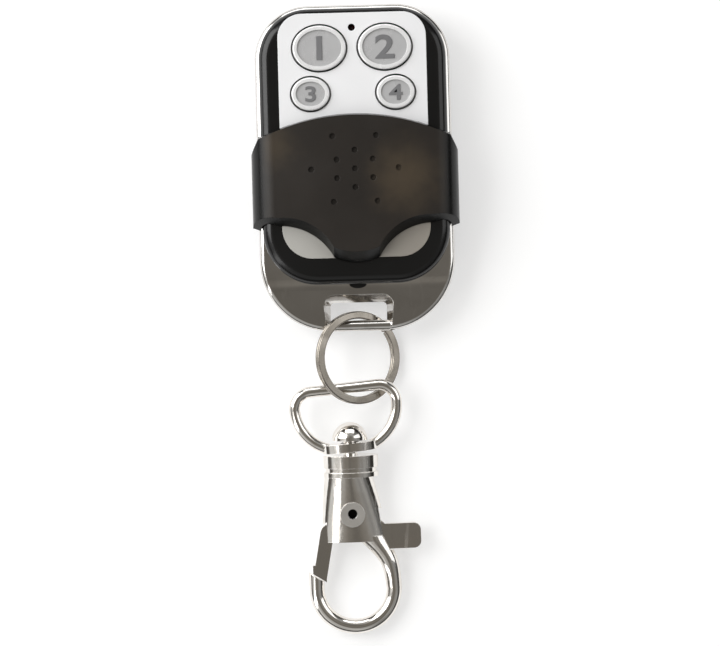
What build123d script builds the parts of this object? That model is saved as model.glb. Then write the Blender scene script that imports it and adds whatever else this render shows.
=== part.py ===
from build123d import *
import os
from math import atan2, cos, degrees, radians, sin, sqrt

# A gate remote control with four keys, a sliding cover and a key chain, in millimetres.
# The origin lies on the flat back, under the middle of the case's outline. +Z comes out of the face,
# +Y points to the lamp end, and the chain lies towards -Y. The cover is drawn slid down, so that the
# keys show.

# Cuts run past the faces that they open by this much
beyond = 1.0

# Case outline, seen from the front
case_length = 60.2
case_width = 36.0
case_top_radius = 10.0
case_bottom_radius = 13.2

# Heights of the three layers of the case
back_height = 4.2
rim_height = 3.0
front_height = 3.8

# Back shell
back_inset = 0.7
back_floor = 1.6
back_wall = 1.5
back_edge_radius = 1.3
back_end_gap = 7.3
back_bottom_radius = 9.5

# Metal frame
rim_wall = 1.6
rim_edge_radius = 1.0
chin_length = 8.7
chin_drop = 1.3
chin_blend_radius = 14.0
chin_lift = 1.6
chin_inner_step = 1.0
chin_side_y = -14.0
chin_side_run = 5.0
slot_width = 10.4
slot_depth = 3.3
slot_corner = 0.8
slot_flare = 35.0
ring_bar_radius = 1.0
ring_bar_height = 4.8
ring_relief_width = 15.6
ring_relief_gap = 0.8

# Front shell
front_inset = 0.8
front_wall = 2.0
face_wall = 1.1
front_shoulder = 1.9
front_bottom_radius = 10.0
front_tongue_width = 3.2
front_tongue_length = 0.8
front_tongue_height = 1.2

# Face plate, by its margins to the outline of the case
plate_side_margin = 4.4
plate_top_margin = 1.8
plate_bottom_margin = 13.5
plate_top_radius = 4.4
plate_bottom_radius = 5.6
plate_thickness = 0.4
plate_proud = 0.1

# Keys: two large ones above two small ones, slightly oval. Their holes fill the plate between its edge
# and its middle line, less these margins
large_key_side = 2.4
large_key_middle = 0.8
large_key_length = 8.9
large_key_from_top = 8.2
small_key_side = 2.0
small_key_middle = 4.0
small_key_length = 6.7
small_key_from_top = 16.55
key_gap = 0.3
key_proud = 0.6
key_edge_radius = 0.3
key_rim_width = 0.8
key_dish_depth = 0.25
key_lug = 0.4
key_lug_inset = 0.8
key_lug_thickness = 0.8
key_travel = 0.4

# Lamp
lamp_from_top = 4.5
lamp_hole = 1.3
lamp_diameter = 2.0
lamp_height = 3.0

# Sliding cover: lengths run down from the middle of its top edge, which lies below the small keys
cover_travel = 18.5
cover_below_keys = 0.3
cover_corner_inset = 0.4
cover_corner_drop = 4.3
cover_skirt_start = 7.2
cover_end_at = 20.6
cover_tip_at = 27.4
cover_tip_half = 4.2
cover_tip_rise = 1.0
cover_wing_inset = 4.1
cover_wing_at = 20.4
cover_bow = 1.4
cover_end_lean = 3.0
cover_v_lean = 2.1
cover_top_lean = 0.5
cover_wall = 0.75
cover_side_gap = 0.25
cover_face_gap = 0.25
cover_skirt_z = 5.0
cover_shoulder_z = 8.5
cover_shoulder_inset = 3.5
cover_shoulder_top = 13.2
cover_crown = 13.9
cover_ceiling = 12.5
cover_rim_width = 1.5
cover_key_gap = 0.25
cover_lip_reach = 0.65
cover_lip_height = 0.8
groove_depth = 0.9
groove_height = 1.2
groove_lift = 0.3
groove_end_gap = 0.25

# Grip dimples: two six-sided rows and one in the middle
dimple_diameter = 1.1
dimple_depth = 0.45
dimple_outer_x = 8.0
dimple_outer_y = 6.0
dimple_inner_x = 3.3
dimple_inner_y = 1.7
dimple_inner_top = 3.4
dimple_centre_at = 10.3

# Screws
screw_side_margin = 5.8
screw_top_margin = 5.5
screw_board_margin = 3.6
screw_shank = 1.6
screw_head = 3.2
screw_head_height = 0.95
screw_sink = 0.35
screw_depth = 7.4
screw_gap = 0.08
cross_width = 0.5
cross_length = 1.7
back_post_radius = 2.0
front_post_radius = 1.45

# Circuit board and what it carries
board_z = 5.6
board_thickness = 1.0
board_edge_gap = 0.4
board_battery_gap = 0.6
board_corner = 6.5
board_low_corner = 1.0
seat_gap = 0.05
switch_size = 6.0
switch_height = 1.8
plunger_diameter = 2.4
plunger_gap = 0.15
chip_size = (4.9, 3.9, 1.4)
chip_above_antenna = 9.5
chip_pin = (0.4, 1.1, 0.7)
chip_pins_per_side = 4
chip_pin_pitch = 1.27
resonator_size = (4.2, 4.2, 1.4)
resonator_below_key = 8.35
resonator_antenna_gap = 0.8
transistor_size = (2.9, 1.3, 1.0)
transistor_x = -2.0
transistor_above_antenna = 2.5
small_part_size = (0.8, 1.4, 0.5)
small_part_pitch = 1.8
small_part_row_pitch = 2.7
small_part_rows = 2
small_part_columns = 3
small_parts_antenna_gap = 0.5
small_parts_above_antenna = 4.6
antenna_width = 0.9
antenna_thickness = 0.12
antenna_post_gap = 1.15
antenna_board_margin = 1.6
antenna_switch_gap = 0.55

# Battery and its contacts
battery_diameter = 8.0
battery_length = 28.0
battery_from_bottom = 19.9
battery_cap_diameter = 3.0
battery_cap_length = 0.6
battery_rest = 0.1
contact_thickness = 0.35
contact_width = 6.0
contact_gap = 0.05
contact_room = 0.1
contact_foot = 2.6
leaf_bow = 0.45
cradle_thickness = 1.0
cradle_height = 0.9
cradle_length = 16.0
cradle_gap = 0.2

# Split ring
ring_diameter = 17.2
ring_wire_width = 1.4
ring_turn_thickness = 0.7
ring_turn_overlap = 0.03
ring_turn_round = 0.22
ring_lean = 28.7
ring_x = -0.4
ring_hang = 2.0
ring_split = 0.4
ring_split_angles = (38.0, 62.0)

# D-shaped loop
loop_wire = 2.1
loop_width = 21.0
loop_corner = 3.2
loop_eye_distance = 10.9
loop_eye_width = 10.2
loop_eye_depth = 5.6
loop_eye_height = 1.6
loop_eye_hole = 3.5
loop_hang = 2.55
loop_x = -3.2
loop_yaw = 5.0

# Clasp: lengths run from the middle of the loop's eye towards the hook
chain_droop = 4.1
clasp_yaw = 0.7
post_diameter = 2.6
post_head_diameter = 6.6
post_head_height = 3.3
post_head_skirt = 0.6
post_head_gap = 0.5
neck_start = 1.5
neck_length = 4.0
neck_width = 10.2
neck_depth = 6.9
neck_groove_at = 2.3
neck_groove = 0.35
neck_groove_width = 0.8
body_shoulder_shift = -0.5
body_shoulder_width = 9.0
body_shoulder_depth = 6.4
body_rivet_width = 11.2
body_rivet_depth = 5.2
body_end = 17.6
body_end_shift = 0.4
body_end_width = 12.4
body_end_depth = 4.6
rivet_distance = 12.4
rivet_head_diameter = 4.6
rivet_head_height = 0.3
rivet_bore = 1.6
rivet_bore_depth = 2.4
rivet_shank = 2.4
rivet_gap = 0.06
hook_wire = 2.9
hook_radius = 7.15
hook_centre_distance = 26.4
# Arm of the hook: distance along the clasp, sideways shift, width and depth of each section
arm_sections = [
    (16.6, 3.4, 5.4, 4.0),
    (19.1, 4.9, 4.7, 3.6),
    (21.5, 6.35, 3.6, 3.2),
    (23.9, 6.95, 3.1, 3.0),
]
lever_thickness = 2.1
lever_gap = 0.2
lever_side_gap = 0.3
pocket_steps = 4
lever_hub_radius = 2.9
tab_start = 5.0
tab_end = 12.5
tab_height = 4.7
tab_corner = 1.3
tab_distance = 16.8
gate_width = 2.5
gate_elbow = (-4.8, 15.6)
gate_end = (-6.5, 24.3)
gate_face_angle = -33.0
gate_gap = 0.2
lever_open_angle = 20.0
spring_radius = 2.0
spring_height = 0.8
spring_recess_gap = 0.15

# Heights and places that follow
half_width = case_width / 2
case_top = case_length / 2
case_bottom = -case_length / 2
z_rim = back_height
z_front = z_rim + rim_height
z_face = z_front + front_height
z_plate = z_face + plate_proud
z_ceiling = z_face - face_wall
front_half = half_width - front_inset
front_bottom = case_bottom + chin_length
back_bottom = case_bottom + back_end_gap
key_top = z_plate + key_proud
key_underside = z_ceiling - seat_gap - key_lug_thickness
board_top = board_z + board_thickness
plate_half = half_width - plate_side_margin
large_key_hole = (plate_half - large_key_side - large_key_middle, large_key_length)
large_key_x = large_key_middle + large_key_hole[0] / 2
large_key_y = case_top - large_key_from_top
small_key_hole = (plate_half - small_key_side - small_key_middle, small_key_length)
small_key_x = small_key_middle + small_key_hole[0] / 2
small_key_y = case_top - small_key_from_top
lamp_y = case_top - lamp_from_top
cover_top_y = small_key_y - small_key_length / 2 - cover_below_keys
cover_skirt_top_y = cover_top_y - cover_skirt_start
cover_end_y = cover_top_y - cover_end_at
cover_shoulder_x = half_width - cover_shoulder_inset
cover_wing_x = half_width - cover_wing_inset
battery_y = case_bottom + battery_from_bottom
board_bottom_y = battery_y + battery_diameter / 2 + board_battery_gap
screw_x = half_width - screw_side_margin
screw_top_y = case_top - screw_top_margin
screw_low_y = board_bottom_y + screw_board_margin
antenna_half = screw_x - front_post_radius - antenna_post_gap
antenna_low = board_bottom_y + antenna_board_margin
antenna_high = small_key_y - switch_size / 2 - antenna_switch_gap
chip_place = (0.0, antenna_low + chip_above_antenna)
resonator_x = antenna_half - antenna_width - resonator_antenna_gap - resonator_size[0] / 2
resonator_place = (-resonator_x, small_key_y - resonator_below_key)
transistor_place = (transistor_x, antenna_low + transistor_above_antenna)
small_parts_half = ((small_part_columns - 1) * small_part_pitch + small_part_size[0]) / 2
small_parts_x = antenna_half - antenna_width - small_parts_antenna_gap - small_parts_half
small_parts_place = (small_parts_x, antenna_low + small_parts_above_antenna)
key_places = [
    (-large_key_x, large_key_y, large_key_hole),
    (large_key_x, large_key_y, large_key_hole),
    (-small_key_x, small_key_y, small_key_hole),
    (small_key_x, small_key_y, small_key_hole),
]
screw_places = [(side * screw_x, y) for y in (screw_top_y, screw_low_y) for side in (-1, 1)]

eighth_turn = radians(45)

nodes = {}


def rounded_plan(half, top, bottom, top_radius, bottom_radius):
    """A tall rectangle seen from the front, with its own radius at the top and the bottom corners."""
    sheet = Pos(0, (top + bottom) / 2) * Rectangle(2 * half, top - bottom)
    sheet = fillet(sheet.vertices().sort_by(Axis.Y)[2:], top_radius)
    return fillet(sheet.vertices().sort_by(Axis.Y)[:2], bottom_radius)


def upright(sheet, low, high):
    """A flat outline raised from one height to another."""
    return Pos(0, 0, low) * extrude(sheet, high - low, dir=(0, 0, 1))


def block(x0, x1, y0, y1, z0, z1):
    """A box between two corners."""
    return Pos((x0 + x1) / 2, (y0 + y1) / 2, (z0 + z1) / 2) * Box(x1 - x0, y1 - y0, z1 - z0)


def rod(x, y, low, high, diameter):
    """An upright round rod."""
    return Pos(x, y, (low + high) / 2) * Cylinder(diameter / 2, high - low)


def oval(x, y, size, grow_x, grow_y, low, high):
    """An upright oval prism, grown by the given margins on every side."""
    sheet = Pos(x, y) * Ellipse(size[0] / 2 + grow_x, size[1] / 2 + grow_y)
    return upright(sheet, low, high)


def lengthwise(sheet, y0, y1):
    """An outline drawn in x and z, run along the case from y0 to y1."""
    return extrude(Plane.XZ.offset(-y1) * sheet, y1 - y0, dir=(0, -1, 0))


def cell_room():
    """Room for the contacts and the ends of the cell, kept free of every wall."""
    far = battery_length / 2 + contact_gap + leaf_bow + contact_thickness + contact_room
    y = contact_width / 2 + contact_room
    top = battery_height() + battery_diameter / 2 + contact_room
    near = cradle_length / 2 + cradle_gap
    right = block(near, far, battery_y - y, battery_y + y, back_floor, top)
    return right + mirror(right, Plane.YZ)


def make_metal_frame():
    """The rim round the case and the chin with its slot and ring bar."""
    outer = rounded_plan(half_width, case_top, case_bottom, case_top_radius, case_bottom_radius)
    slope_end = z_front - chin_drop * (chin_length + beyond) / chin_length
    side = Polygon(
        (case_top + beyond, 0), (case_top + beyond, z_front), (front_bottom, z_front),
        (case_bottom - beyond, slope_end), (case_bottom - beyond, 0), align=None,
    )
    kink = side.vertices().sort_by_distance((front_bottom, z_front, 0))[0]
    side = Plane.YZ * fillet(kink, chin_blend_radius)
    frame = upright(outer, chin_lift, z_front) & extrude(side, half_width + beyond, both=True)
    top_edges = [e for e in frame.edges() if e.center().Z > z_front - chin_drop - rim_edge_radius]
    frame = fillet(top_edges, rim_edge_radius)
    inner = rounded_plan(
        half_width - rim_wall, case_top - rim_wall, front_bottom + chin_inner_step,
        case_top_radius - rim_wall, front_bottom_radius,
    )
    frame -= upright(inner, 0, z_front + beyond)
    under = Plane.YZ * Polygon(
        (chin_side_y - chin_side_run, 0), (case_top + beyond, 0), (case_top + beyond, z_rim),
        (chin_side_y, z_rim), align=None,
    )
    frame -= extrude(under, half_width + beyond, both=True)
    tray = rounded_plan(
        half_width - back_inset + seat_gap, case_top, back_bottom - seat_gap,
        case_top_radius, back_bottom_radius,
    )
    frame -= upright(tray, 0, z_rim)
    slot_top = case_bottom + 2 * ring_bar_radius + slot_depth
    mouth = Pos(0, slot_top - slot_depth) * Rectangle(slot_width, 2 * slot_depth)
    mouth = fillet(mouth.vertices().sort_by(Axis.Y)[2:], slot_corner)
    frame -= upright(mouth, 0, z_front + beyond)
    flare = extrude(mouth, z_front + beyond - ring_bar_height, dir=(0, 0, 1), taper=-slot_flare)
    frame -= Pos(0, 0, ring_bar_height) * flare
    relief = ring_relief_width / 2
    relief_top = slot_top + ring_relief_gap
    frame -= block(-relief, relief, case_bottom - beyond, relief_top, 0, ring_bar_height - ring_bar_radius)
    bar_length = slot_width + 2 * ring_bar_radius
    bar_place = Pos(0, case_bottom + ring_bar_radius, ring_bar_height)
    return frame - cell_room() + bar_place * Rot(0, 90, 0) * Cylinder(ring_bar_radius, bar_length)


def make_back_shell():
    """The back half of the case, with screw posts and the battery cradle."""
    half = half_width - back_inset
    outer = rounded_plan(
        half, case_top - back_inset, back_bottom, case_top_radius - back_inset, back_bottom_radius
    )
    shell = upright(outer, 0, z_rim)
    shell = fillet(shell.edges().group_by(Axis.Z)[0], back_edge_radius)
    inner = rounded_plan(
        half - back_wall, case_top - back_inset - back_wall, back_bottom + back_wall,
        case_top_radius - back_inset - back_wall, back_bottom_radius - back_wall,
    )
    shell -= upright(inner, back_floor, z_rim + beyond)
    for x, y in screw_places:
        shell += rod(x, y, back_floor / 2, board_z - seat_gap, 2 * back_post_radius)
    rib_top = back_floor + cradle_height
    under_axis = battery_height() - rib_top
    for side in (-1, 1):
        near = battery_y + side * (sqrt((battery_diameter / 2) ** 2 - under_axis**2) + cradle_gap)
        y0, y1 = sorted((near, near + side * cradle_thickness))
        shell += block(-cradle_length / 2, cradle_length / 2, y0, y1, back_floor / 2, rib_top)
    for x, y in screw_places:
        shell -= rod(x, y, -beyond, board_z + beyond, screw_shank + 2 * screw_gap)
        shell -= rod(x, y, -beyond, screw_sink + screw_head_height + seat_gap, screw_head + 2 * screw_gap)
    return shell - cell_room()


def make_front_shell():
    """The front half of the case, with key holes, guide grooves and screw posts."""
    outer = rounded_plan(
        front_half, case_top - front_inset, front_bottom, case_top_radius - front_inset, front_bottom_radius
    )
    shell = upright(outer, z_front, z_face)
    shell = fillet(shell.edges().group_by(Axis.Z)[-1], front_shoulder)
    tongue = Pos(0, front_bottom) * Ellipse(front_tongue_width / 2, front_tongue_length)
    shell += upright(tongue, z_front, z_front + front_tongue_height)
    inner = rounded_plan(
        front_half - front_wall, case_top - front_inset - front_wall, front_bottom + front_wall,
        case_top_radius - front_inset - front_wall, front_bottom_radius - front_wall,
    )
    shell -= upright(inner, 0, z_ceiling)
    for x, y in screw_places:
        shell += rod(x, y, board_top + seat_gap, z_ceiling + face_wall / 2, 2 * front_post_radius)
    shell -= upright(plate_plan(seat_gap), z_plate - plate_thickness, z_face + beyond)
    for x, y, size in key_places:
        shell -= oval(x, y, size, 0, 0, z_front, z_face + beyond)
    shell -= rod(0, lamp_y, z_front, z_face + beyond, lamp_hole)
    groove_z = z_front + groove_lift
    groove_low = cover_end_y + cover_wall - groove_end_gap
    groove_high = cover_skirt_top_y + cover_travel + groove_end_gap
    for side in (-1, 1):
        x0, x1 = sorted((side * (front_half - groove_depth), side * half_width))
        shell -= block(x0, x1, groove_low, groove_high, groove_z, groove_z + groove_height)
    for x, y in screw_places:
        shell -= rod(x, y, 0, screw_sink + screw_head_height + screw_depth, screw_shank + 2 * screw_gap)
    return shell - cell_room()


def plate_plan(grow):
    """Outline of the bright plate, grown by a clearance."""
    return rounded_plan(
        plate_half + grow, case_top - plate_top_margin + grow, case_bottom + plate_bottom_margin - grow,
        plate_top_radius + grow, plate_bottom_radius + grow,
    )


def make_face_plate():
    """The thin bright plate round the keys."""
    plate = upright(plate_plan(0), z_plate - plate_thickness + seat_gap, z_plate)
    for x, y, size in key_places:
        plate -= oval(x, y, size, 0, 0, 0, z_plate + beyond)
    return plate - rod(0, lamp_y, 0, z_plate + beyond, lamp_hole)


def make_key(x, y, size):
    """One oval key with a raised rim, a shallow dish and side lugs that keep it under the shell."""
    key = oval(x, y, size, -key_gap, -key_gap, key_underside, key_top)
    key = fillet(key.edges().group_by(Axis.Z)[-1], key_edge_radius)
    lug = oval(x, y, size, key_lug, -key_lug_inset, key_underside, key_underside + key_lug_thickness)
    inset = key_gap + key_rim_width
    return key + lug - oval(x, y, size, -inset, -inset, key_top - key_dish_depth, key_top + beyond)


def cover_outline(lean):
    """Outline of the cover. Lean 0 is at the shoulder height and 1 at the crown."""
    v_shift = cover_v_lean * (2 * lean - 1)
    tip_y = cover_top_y - cover_tip_at + v_shift
    wing_y = cover_top_y - cover_wing_at + v_shift
    end_y = cover_end_y + cover_end_lean * lean
    top_y = cover_top_y + cover_top_lean * (1 - 2 * lean)
    corner_x, corner_y = half_width - cover_corner_inset, top_y - cover_corner_drop
    side_x = half_width + cover_side_gap + cover_wall
    wing_y = max(wing_y, end_y - cover_v_lean)
    right = [(corner_x, corner_y), (side_x, cover_skirt_top_y), (side_x, end_y), (cover_wing_x, wing_y)]
    tip = (cover_tip_half, tip_y + cover_tip_rise)
    bow_x = (cover_wing_x + cover_tip_half) / 2 - cover_bow / 2
    bow = (bow_x, (wing_y + tip[1]) / 2 + cover_bow)
    lines = [ThreePointArc((-corner_x, corner_y), (0, top_y), (corner_x, corner_y))]
    lines += [Line(right[i], right[i + 1]) for i in range(3)]
    lines += [ThreePointArc(right[3], bow, tip)]
    lines += [ThreePointArc(tip, (0, tip_y), (-tip[0], tip[1]))]
    lines += [ThreePointArc((-tip[0], tip[1]), (-bow[0], bow[1]), (-cover_wing_x, wing_y))]
    left = [(-x, y) for x, y in reversed(right)]
    lines += [Line(left[i], left[i + 1]) for i in range(3)]
    return make_face(Wire(lines))


def cover_section():
    """Outer arch of the cover, seen from the chain end."""
    side_x = half_width + cover_side_gap + cover_wall
    rise = cover_shoulder_top - cover_shoulder_z
    reach = side_x - cover_shoulder_x
    turn = (cover_shoulder_x + reach * cos(eighth_turn), cover_shoulder_z + rise * sin(eighth_turn))
    left_top, right_top = (-cover_shoulder_x, cover_shoulder_top), (cover_shoulder_x, cover_shoulder_top)
    wire = Wire([
        Line((-side_x, cover_skirt_z), (side_x, cover_skirt_z)),
        Line((side_x, cover_skirt_z), (side_x, cover_shoulder_z)),
        ThreePointArc((side_x, cover_shoulder_z), turn, right_top),
        ThreePointArc(right_top, (0, cover_crown), left_top),
        ThreePointArc(left_top, (-turn[0], turn[1]), (-side_x, cover_shoulder_z)),
        Line((-side_x, cover_shoulder_z), (-side_x, cover_skirt_z)),
    ])
    return make_face(wire)


def crown_height(x):
    """Height of the cover's outer surface over the case's middle line, at a distance x from it."""
    drop = cover_crown - cover_shoulder_top
    radius = (cover_shoulder_x**2 + drop**2) / (2 * drop)
    return cover_crown - radius + sqrt(radius**2 - x**2)


def case_clearance():
    """Section of the case that the cover slides over, with its gaps."""
    over_rim = z_front + cover_face_gap
    shell_x = front_half + cover_side_gap
    top = z_plate + cover_face_gap
    shoulder = front_shoulder + (top - z_face)
    sheet = Rectangle(2 * shell_x, 2 * top)
    sheet = fillet(sheet.vertices().sort_by(Axis.Y)[2:], shoulder)
    return sheet + Rectangle(2 * (half_width + cover_side_gap), 2 * over_rim)


def dimple_places():
    """Centres of the grip dimples."""
    centre_y = cover_top_y - dimple_centre_at
    places = [(0, centre_y)]
    for side in (-1, 1):
        places += [(side * dimple_outer_x, centre_y)]
        places += [(0, centre_y + side * dimple_inner_top)]
        for up in (-1, 1):
            places += [(side * dimple_outer_x / 2, centre_y + up * dimple_outer_y)]
            places += [(side * dimple_inner_x, centre_y + up * dimple_inner_y)]
    return places


def make_slide_cover():
    """The cover: an arch over the case with leaning ends, a hollow underside, lips and dimples."""
    low = cover_shoulder_z
    high = cover_crown + cover_face_gap
    plan = loft([Pos(0, 0, low) * cover_outline(0), Pos(0, 0, high) * cover_outline(1)], ruled=True)
    skirts = block(-case_width, case_width, cover_end_y, cover_skirt_top_y, cover_skirt_z, low)
    long = case_length
    cover = (plan + skirts) & lengthwise(cover_section(), -long, long)
    cover -= lengthwise(case_clearance(), -long, long)
    hollow = offset(cover_outline(0.5), -cover_rim_width)
    hollow &= Rectangle(2 * (cover_shoulder_x - cover_wall), 2 * case_length)
    cover -= upright(hollow, z_face, cover_ceiling)
    way = large_key_x + large_key_hole[0] / 2 + 2 * cover_key_gap
    cover -= block(-way, way, 0, long, 0, key_top + cover_key_gap)
    lip_z = z_front + groove_lift + (groove_height - cover_lip_height) / 2
    for side in (-1, 1):
        x0, x1 = sorted((side * (front_half - cover_lip_reach), side * (half_width + cover_side_gap)))
        cover += block(x0, x1, cover_end_y + cover_wall, cover_skirt_top_y, lip_z, lip_z + cover_lip_height)
    for x, y in dimple_places():
        top = crown_height(x)
        cover -= rod(x, y, top - dimple_depth, top + beyond, dimple_diameter)
    return cover


def make_board():
    """The circuit board, with holes for the four screws."""
    half = front_half - front_wall - board_edge_gap
    top = case_top - front_inset - front_wall - board_edge_gap
    sheet = rounded_plan(half, top, board_bottom_y, board_corner, board_low_corner)
    board = upright(sheet, board_z, board_top)
    for x, y in screw_places:
        board -= rod(x, y, 0, board_top + beyond, screw_shank + 2 * screw_gap)
    return board


def on_board(size, place):
    """A small boxed component on top of the board."""
    x, y = place
    low = board_top + seat_gap
    return block(x - size[0] / 2, x + size[0] / 2, y - size[1] / 2, y + size[1] / 2, low, low + size[2])


def make_chip():
    """The encoder chip: a moulded body with a row of legs on each side."""
    chip = on_board(chip_size, chip_place)
    for side in (-1, 1):
        for i in range(chip_pins_per_side):
            x = chip_place[0] + (i - (chip_pins_per_side - 1) / 2) * chip_pin_pitch
            y = chip_place[1] + side * (chip_size[1] / 2 + chip_pin[1] / 2 - seat_gap)
            chip += on_board(chip_pin, (x, y))
    return chip


def make_small_parts():
    """Rows of small resistors and capacitors."""
    parts = []
    for row in range(small_part_rows):
        for column in range(small_part_columns):
            x = small_parts_place[0] + (column - (small_part_columns - 1) / 2) * small_part_pitch
            y = small_parts_place[1] + row * small_part_row_pitch
            parts.append(on_board(small_part_size, (x, y)))
    return Compound(parts)


def make_antenna():
    """The flat copper loop round the lower part of the board."""
    z0 = board_top + seat_gap / 2
    z1 = z0 + antenna_thickness
    loop = block(-antenna_half, antenna_half, antenna_low, antenna_low + antenna_width, z0, z1)
    for side in (-1, 1):
        x0, x1 = sorted((side * antenna_half, side * (antenna_half - antenna_width)))
        loop += block(x0, x1, antenna_low, antenna_high, z0, z1)
    return loop


def make_screws():
    """Four screws with crossed heads, put in from the back."""
    screws = []
    for x, y in screw_places:
        seat = screw_sink + screw_head_height
        screw = rod(x, y, screw_sink, seat, screw_head)
        screw += rod(x, y, seat, seat + screw_depth - seat_gap, screw_shank)
        for turn in (0, 90):
            cross = Box(cross_length, cross_width, screw_head_height)
            screw -= Pos(x, y, screw_sink) * Rot(0, 0, turn) * cross
        screws.append(screw)
    return Compound(screws)


def make_battery():
    """The cell: a can with a raised cap at its positive end."""
    z = battery_height()
    can = Rot(0, 90, 0) * Cylinder(battery_diameter / 2, battery_length - battery_cap_length)
    cap = Rot(0, 90, 0) * Cylinder(battery_cap_diameter / 2, battery_cap_length)
    cell = Pos(-battery_cap_length / 2, 0, 0) * can
    cell += Pos(battery_length / 2 - battery_cap_length / 2, 0, 0) * cap
    return Pos(0, battery_y, z) * cell


def battery_height():
    """Height of the cell's axis."""
    return back_floor + battery_rest + battery_diameter / 2


def make_contact(side, bow):
    """A sheet contact at one end of the cell, with a foot under the board; bow makes it a leaf spring."""
    near = battery_length / 2 + contact_gap
    z = battery_height()
    y0, y1 = battery_y - contact_width / 2, battery_y + contact_width / 2
    half = contact_width / 2
    flat = near + bow
    t = contact_thickness
    if bow:
        points = [
            (flat, z - half), (near, z), (flat, z + half),
            (flat + t, z + half), (near + t, z), (flat + t, z - half),
        ]
    else:
        points = [(near, z - half), (near, z + half), (near + t, z + half), (near + t, z - half)]
    contact = lengthwise(Polygon(*points, align=None), y0, y1)
    foot_z = board_z - seat_gap - t
    contact += block(near + t / 2, flat + t, y1 - t, board_bottom_y + contact_foot / 2, foot_z, foot_z + t)
    if side < 0:
        contact = mirror(contact, Plane.YZ)
    return contact


def ring_place():
    """Where the split ring hangs on its bar."""
    bar_y = case_bottom + ring_bar_radius
    radius = (ring_diameter - ring_wire_width) / 2
    return Pos(ring_x, bar_y + ring_hang - radius, ring_bar_height) * Rot(0, ring_lean, 0)


def make_split_ring():
    """A split ring: two flat turns pressed together, each with a free end."""
    radius = (ring_diameter - ring_wire_width) / 2
    step = (ring_turn_thickness - ring_turn_overlap) / 2
    ring = None
    for side, angle in zip((-1, 1), ring_split_angles):
        section = RectangleRounded(ring_wire_width, ring_turn_thickness, ring_turn_round)
        turn = revolve(Plane.XZ * Pos(radius, side * step) * section, Axis.Z)
        cut = Box(2 * ring_wire_width, ring_split, ring_turn_thickness - 2 * ring_turn_overlap)
        turn -= Rot(0, 0, angle) * Pos(radius, 0, side * (step + ring_turn_overlap)) * cut
        ring = turn if ring is None else ring + turn
    return ring_place() * ring


def loop_place():
    """Frame of the D-shaped loop: its origin is the middle of its bar."""
    radius = (ring_diameter - ring_wire_width) / 2
    top_y = case_bottom + ring_bar_radius + ring_hang
    y = top_y - 2 * radius + loop_hang + (loop_x - ring_x) * sin(radians(loop_yaw))
    return Pos(loop_x, y, ring_bar_height) * Rot(0, 0, loop_yaw) * Rot(chain_droop, 0, 0)


def make_d_ring():
    """The D-shaped loop of round wire with an eye at its round end."""
    half = (loop_width - loop_wire) / 2
    eye_x = loop_eye_width / 2 - loop_wire / 2
    fall = loop_eye_distance - loop_corner
    reach = half - eye_x
    bend = (reach**2 + fall**2) / (2 * reach)
    diagonal = loop_corner * cos(eighth_turn)
    corner = (half - loop_corner + diagonal, -loop_corner + diagonal)
    centre_x = half - bend
    mid = sqrt((half - centre_x) ** 2 - (fall / 2) ** 2)
    side_mid = (centre_x + mid, -loop_corner - fall / 2)
    right = [
        ThreePointArc((half - loop_corner, 0), corner, (half, -loop_corner)),
        ThreePointArc((half, -loop_corner), side_mid, (eye_x, -loop_eye_distance)),
    ]
    left = [
        ThreePointArc((-eye_x, -loop_eye_distance), (-side_mid[0], side_mid[1]), (-half, -loop_corner)),
        ThreePointArc((-half, -loop_corner), (-corner[0], corner[1]), (-half + loop_corner, 0)),
    ]
    path = Wire(left + [Line((-half + loop_corner, 0), (half - loop_corner, 0))] + right)
    start = Plane(origin=path @ 0, z_dir=path % 0)
    wire = sweep(start * Circle(loop_wire / 2), path)
    oval_face = Ellipse(loop_eye_width / 2, loop_eye_depth / 2)
    eye = Rot(90, 0, 0) * extrude(oval_face, loop_eye_height / 2, both=True)
    hole = Rot(90, 0, 0) * Cylinder(loop_eye_hole / 2, 2 * loop_eye_height)
    centre = Pos(0, -loop_eye_distance, 0)
    return loop_place() * (wire + centre * eye - centre * hole)


def clasp_place():
    """Frame of the clasp: its origin is the middle of the loop's eye and it runs along its own -Y."""
    eye = (loop_place() * Pos(0, -loop_eye_distance, 0)).position
    return Pos(eye.X, eye.Y, eye.Z) * Rot(0, 0, clasp_yaw) * Rot(chain_droop, 0, 0)


def cross_section(distance, width, depth):
    """Oval section of the clasp at a distance along it."""
    return Plane.XZ.offset(distance) * Ellipse(width / 2, depth / 2)


def make_swivel_post():
    """The pin that the clasp turns on, with a dome head inside the loop."""
    radius = post_head_diameter / 2
    head_low = loop_eye_height / 2 + post_head_gap
    head_top = head_low + post_head_height
    rise = post_head_height - post_head_skirt
    dome_radius = (radius**2 + rise**2) / (2 * rise)
    head = Pos(0, (head_low + head_top) / 2, 0) * Rot(90, 0, 0) * Cylinder(radius, post_head_height)
    head &= Pos(0, head_top - dome_radius, 0) * Sphere(dome_radius)
    end = neck_start + neck_length / 2
    stem_top = head_low + post_head_skirt
    stem = Pos(0, (stem_top - end) / 2, 0) * Rot(90, 0, 0) * Cylinder(post_diameter / 2, stem_top + end)
    return clasp_place() * (head + stem)


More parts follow.
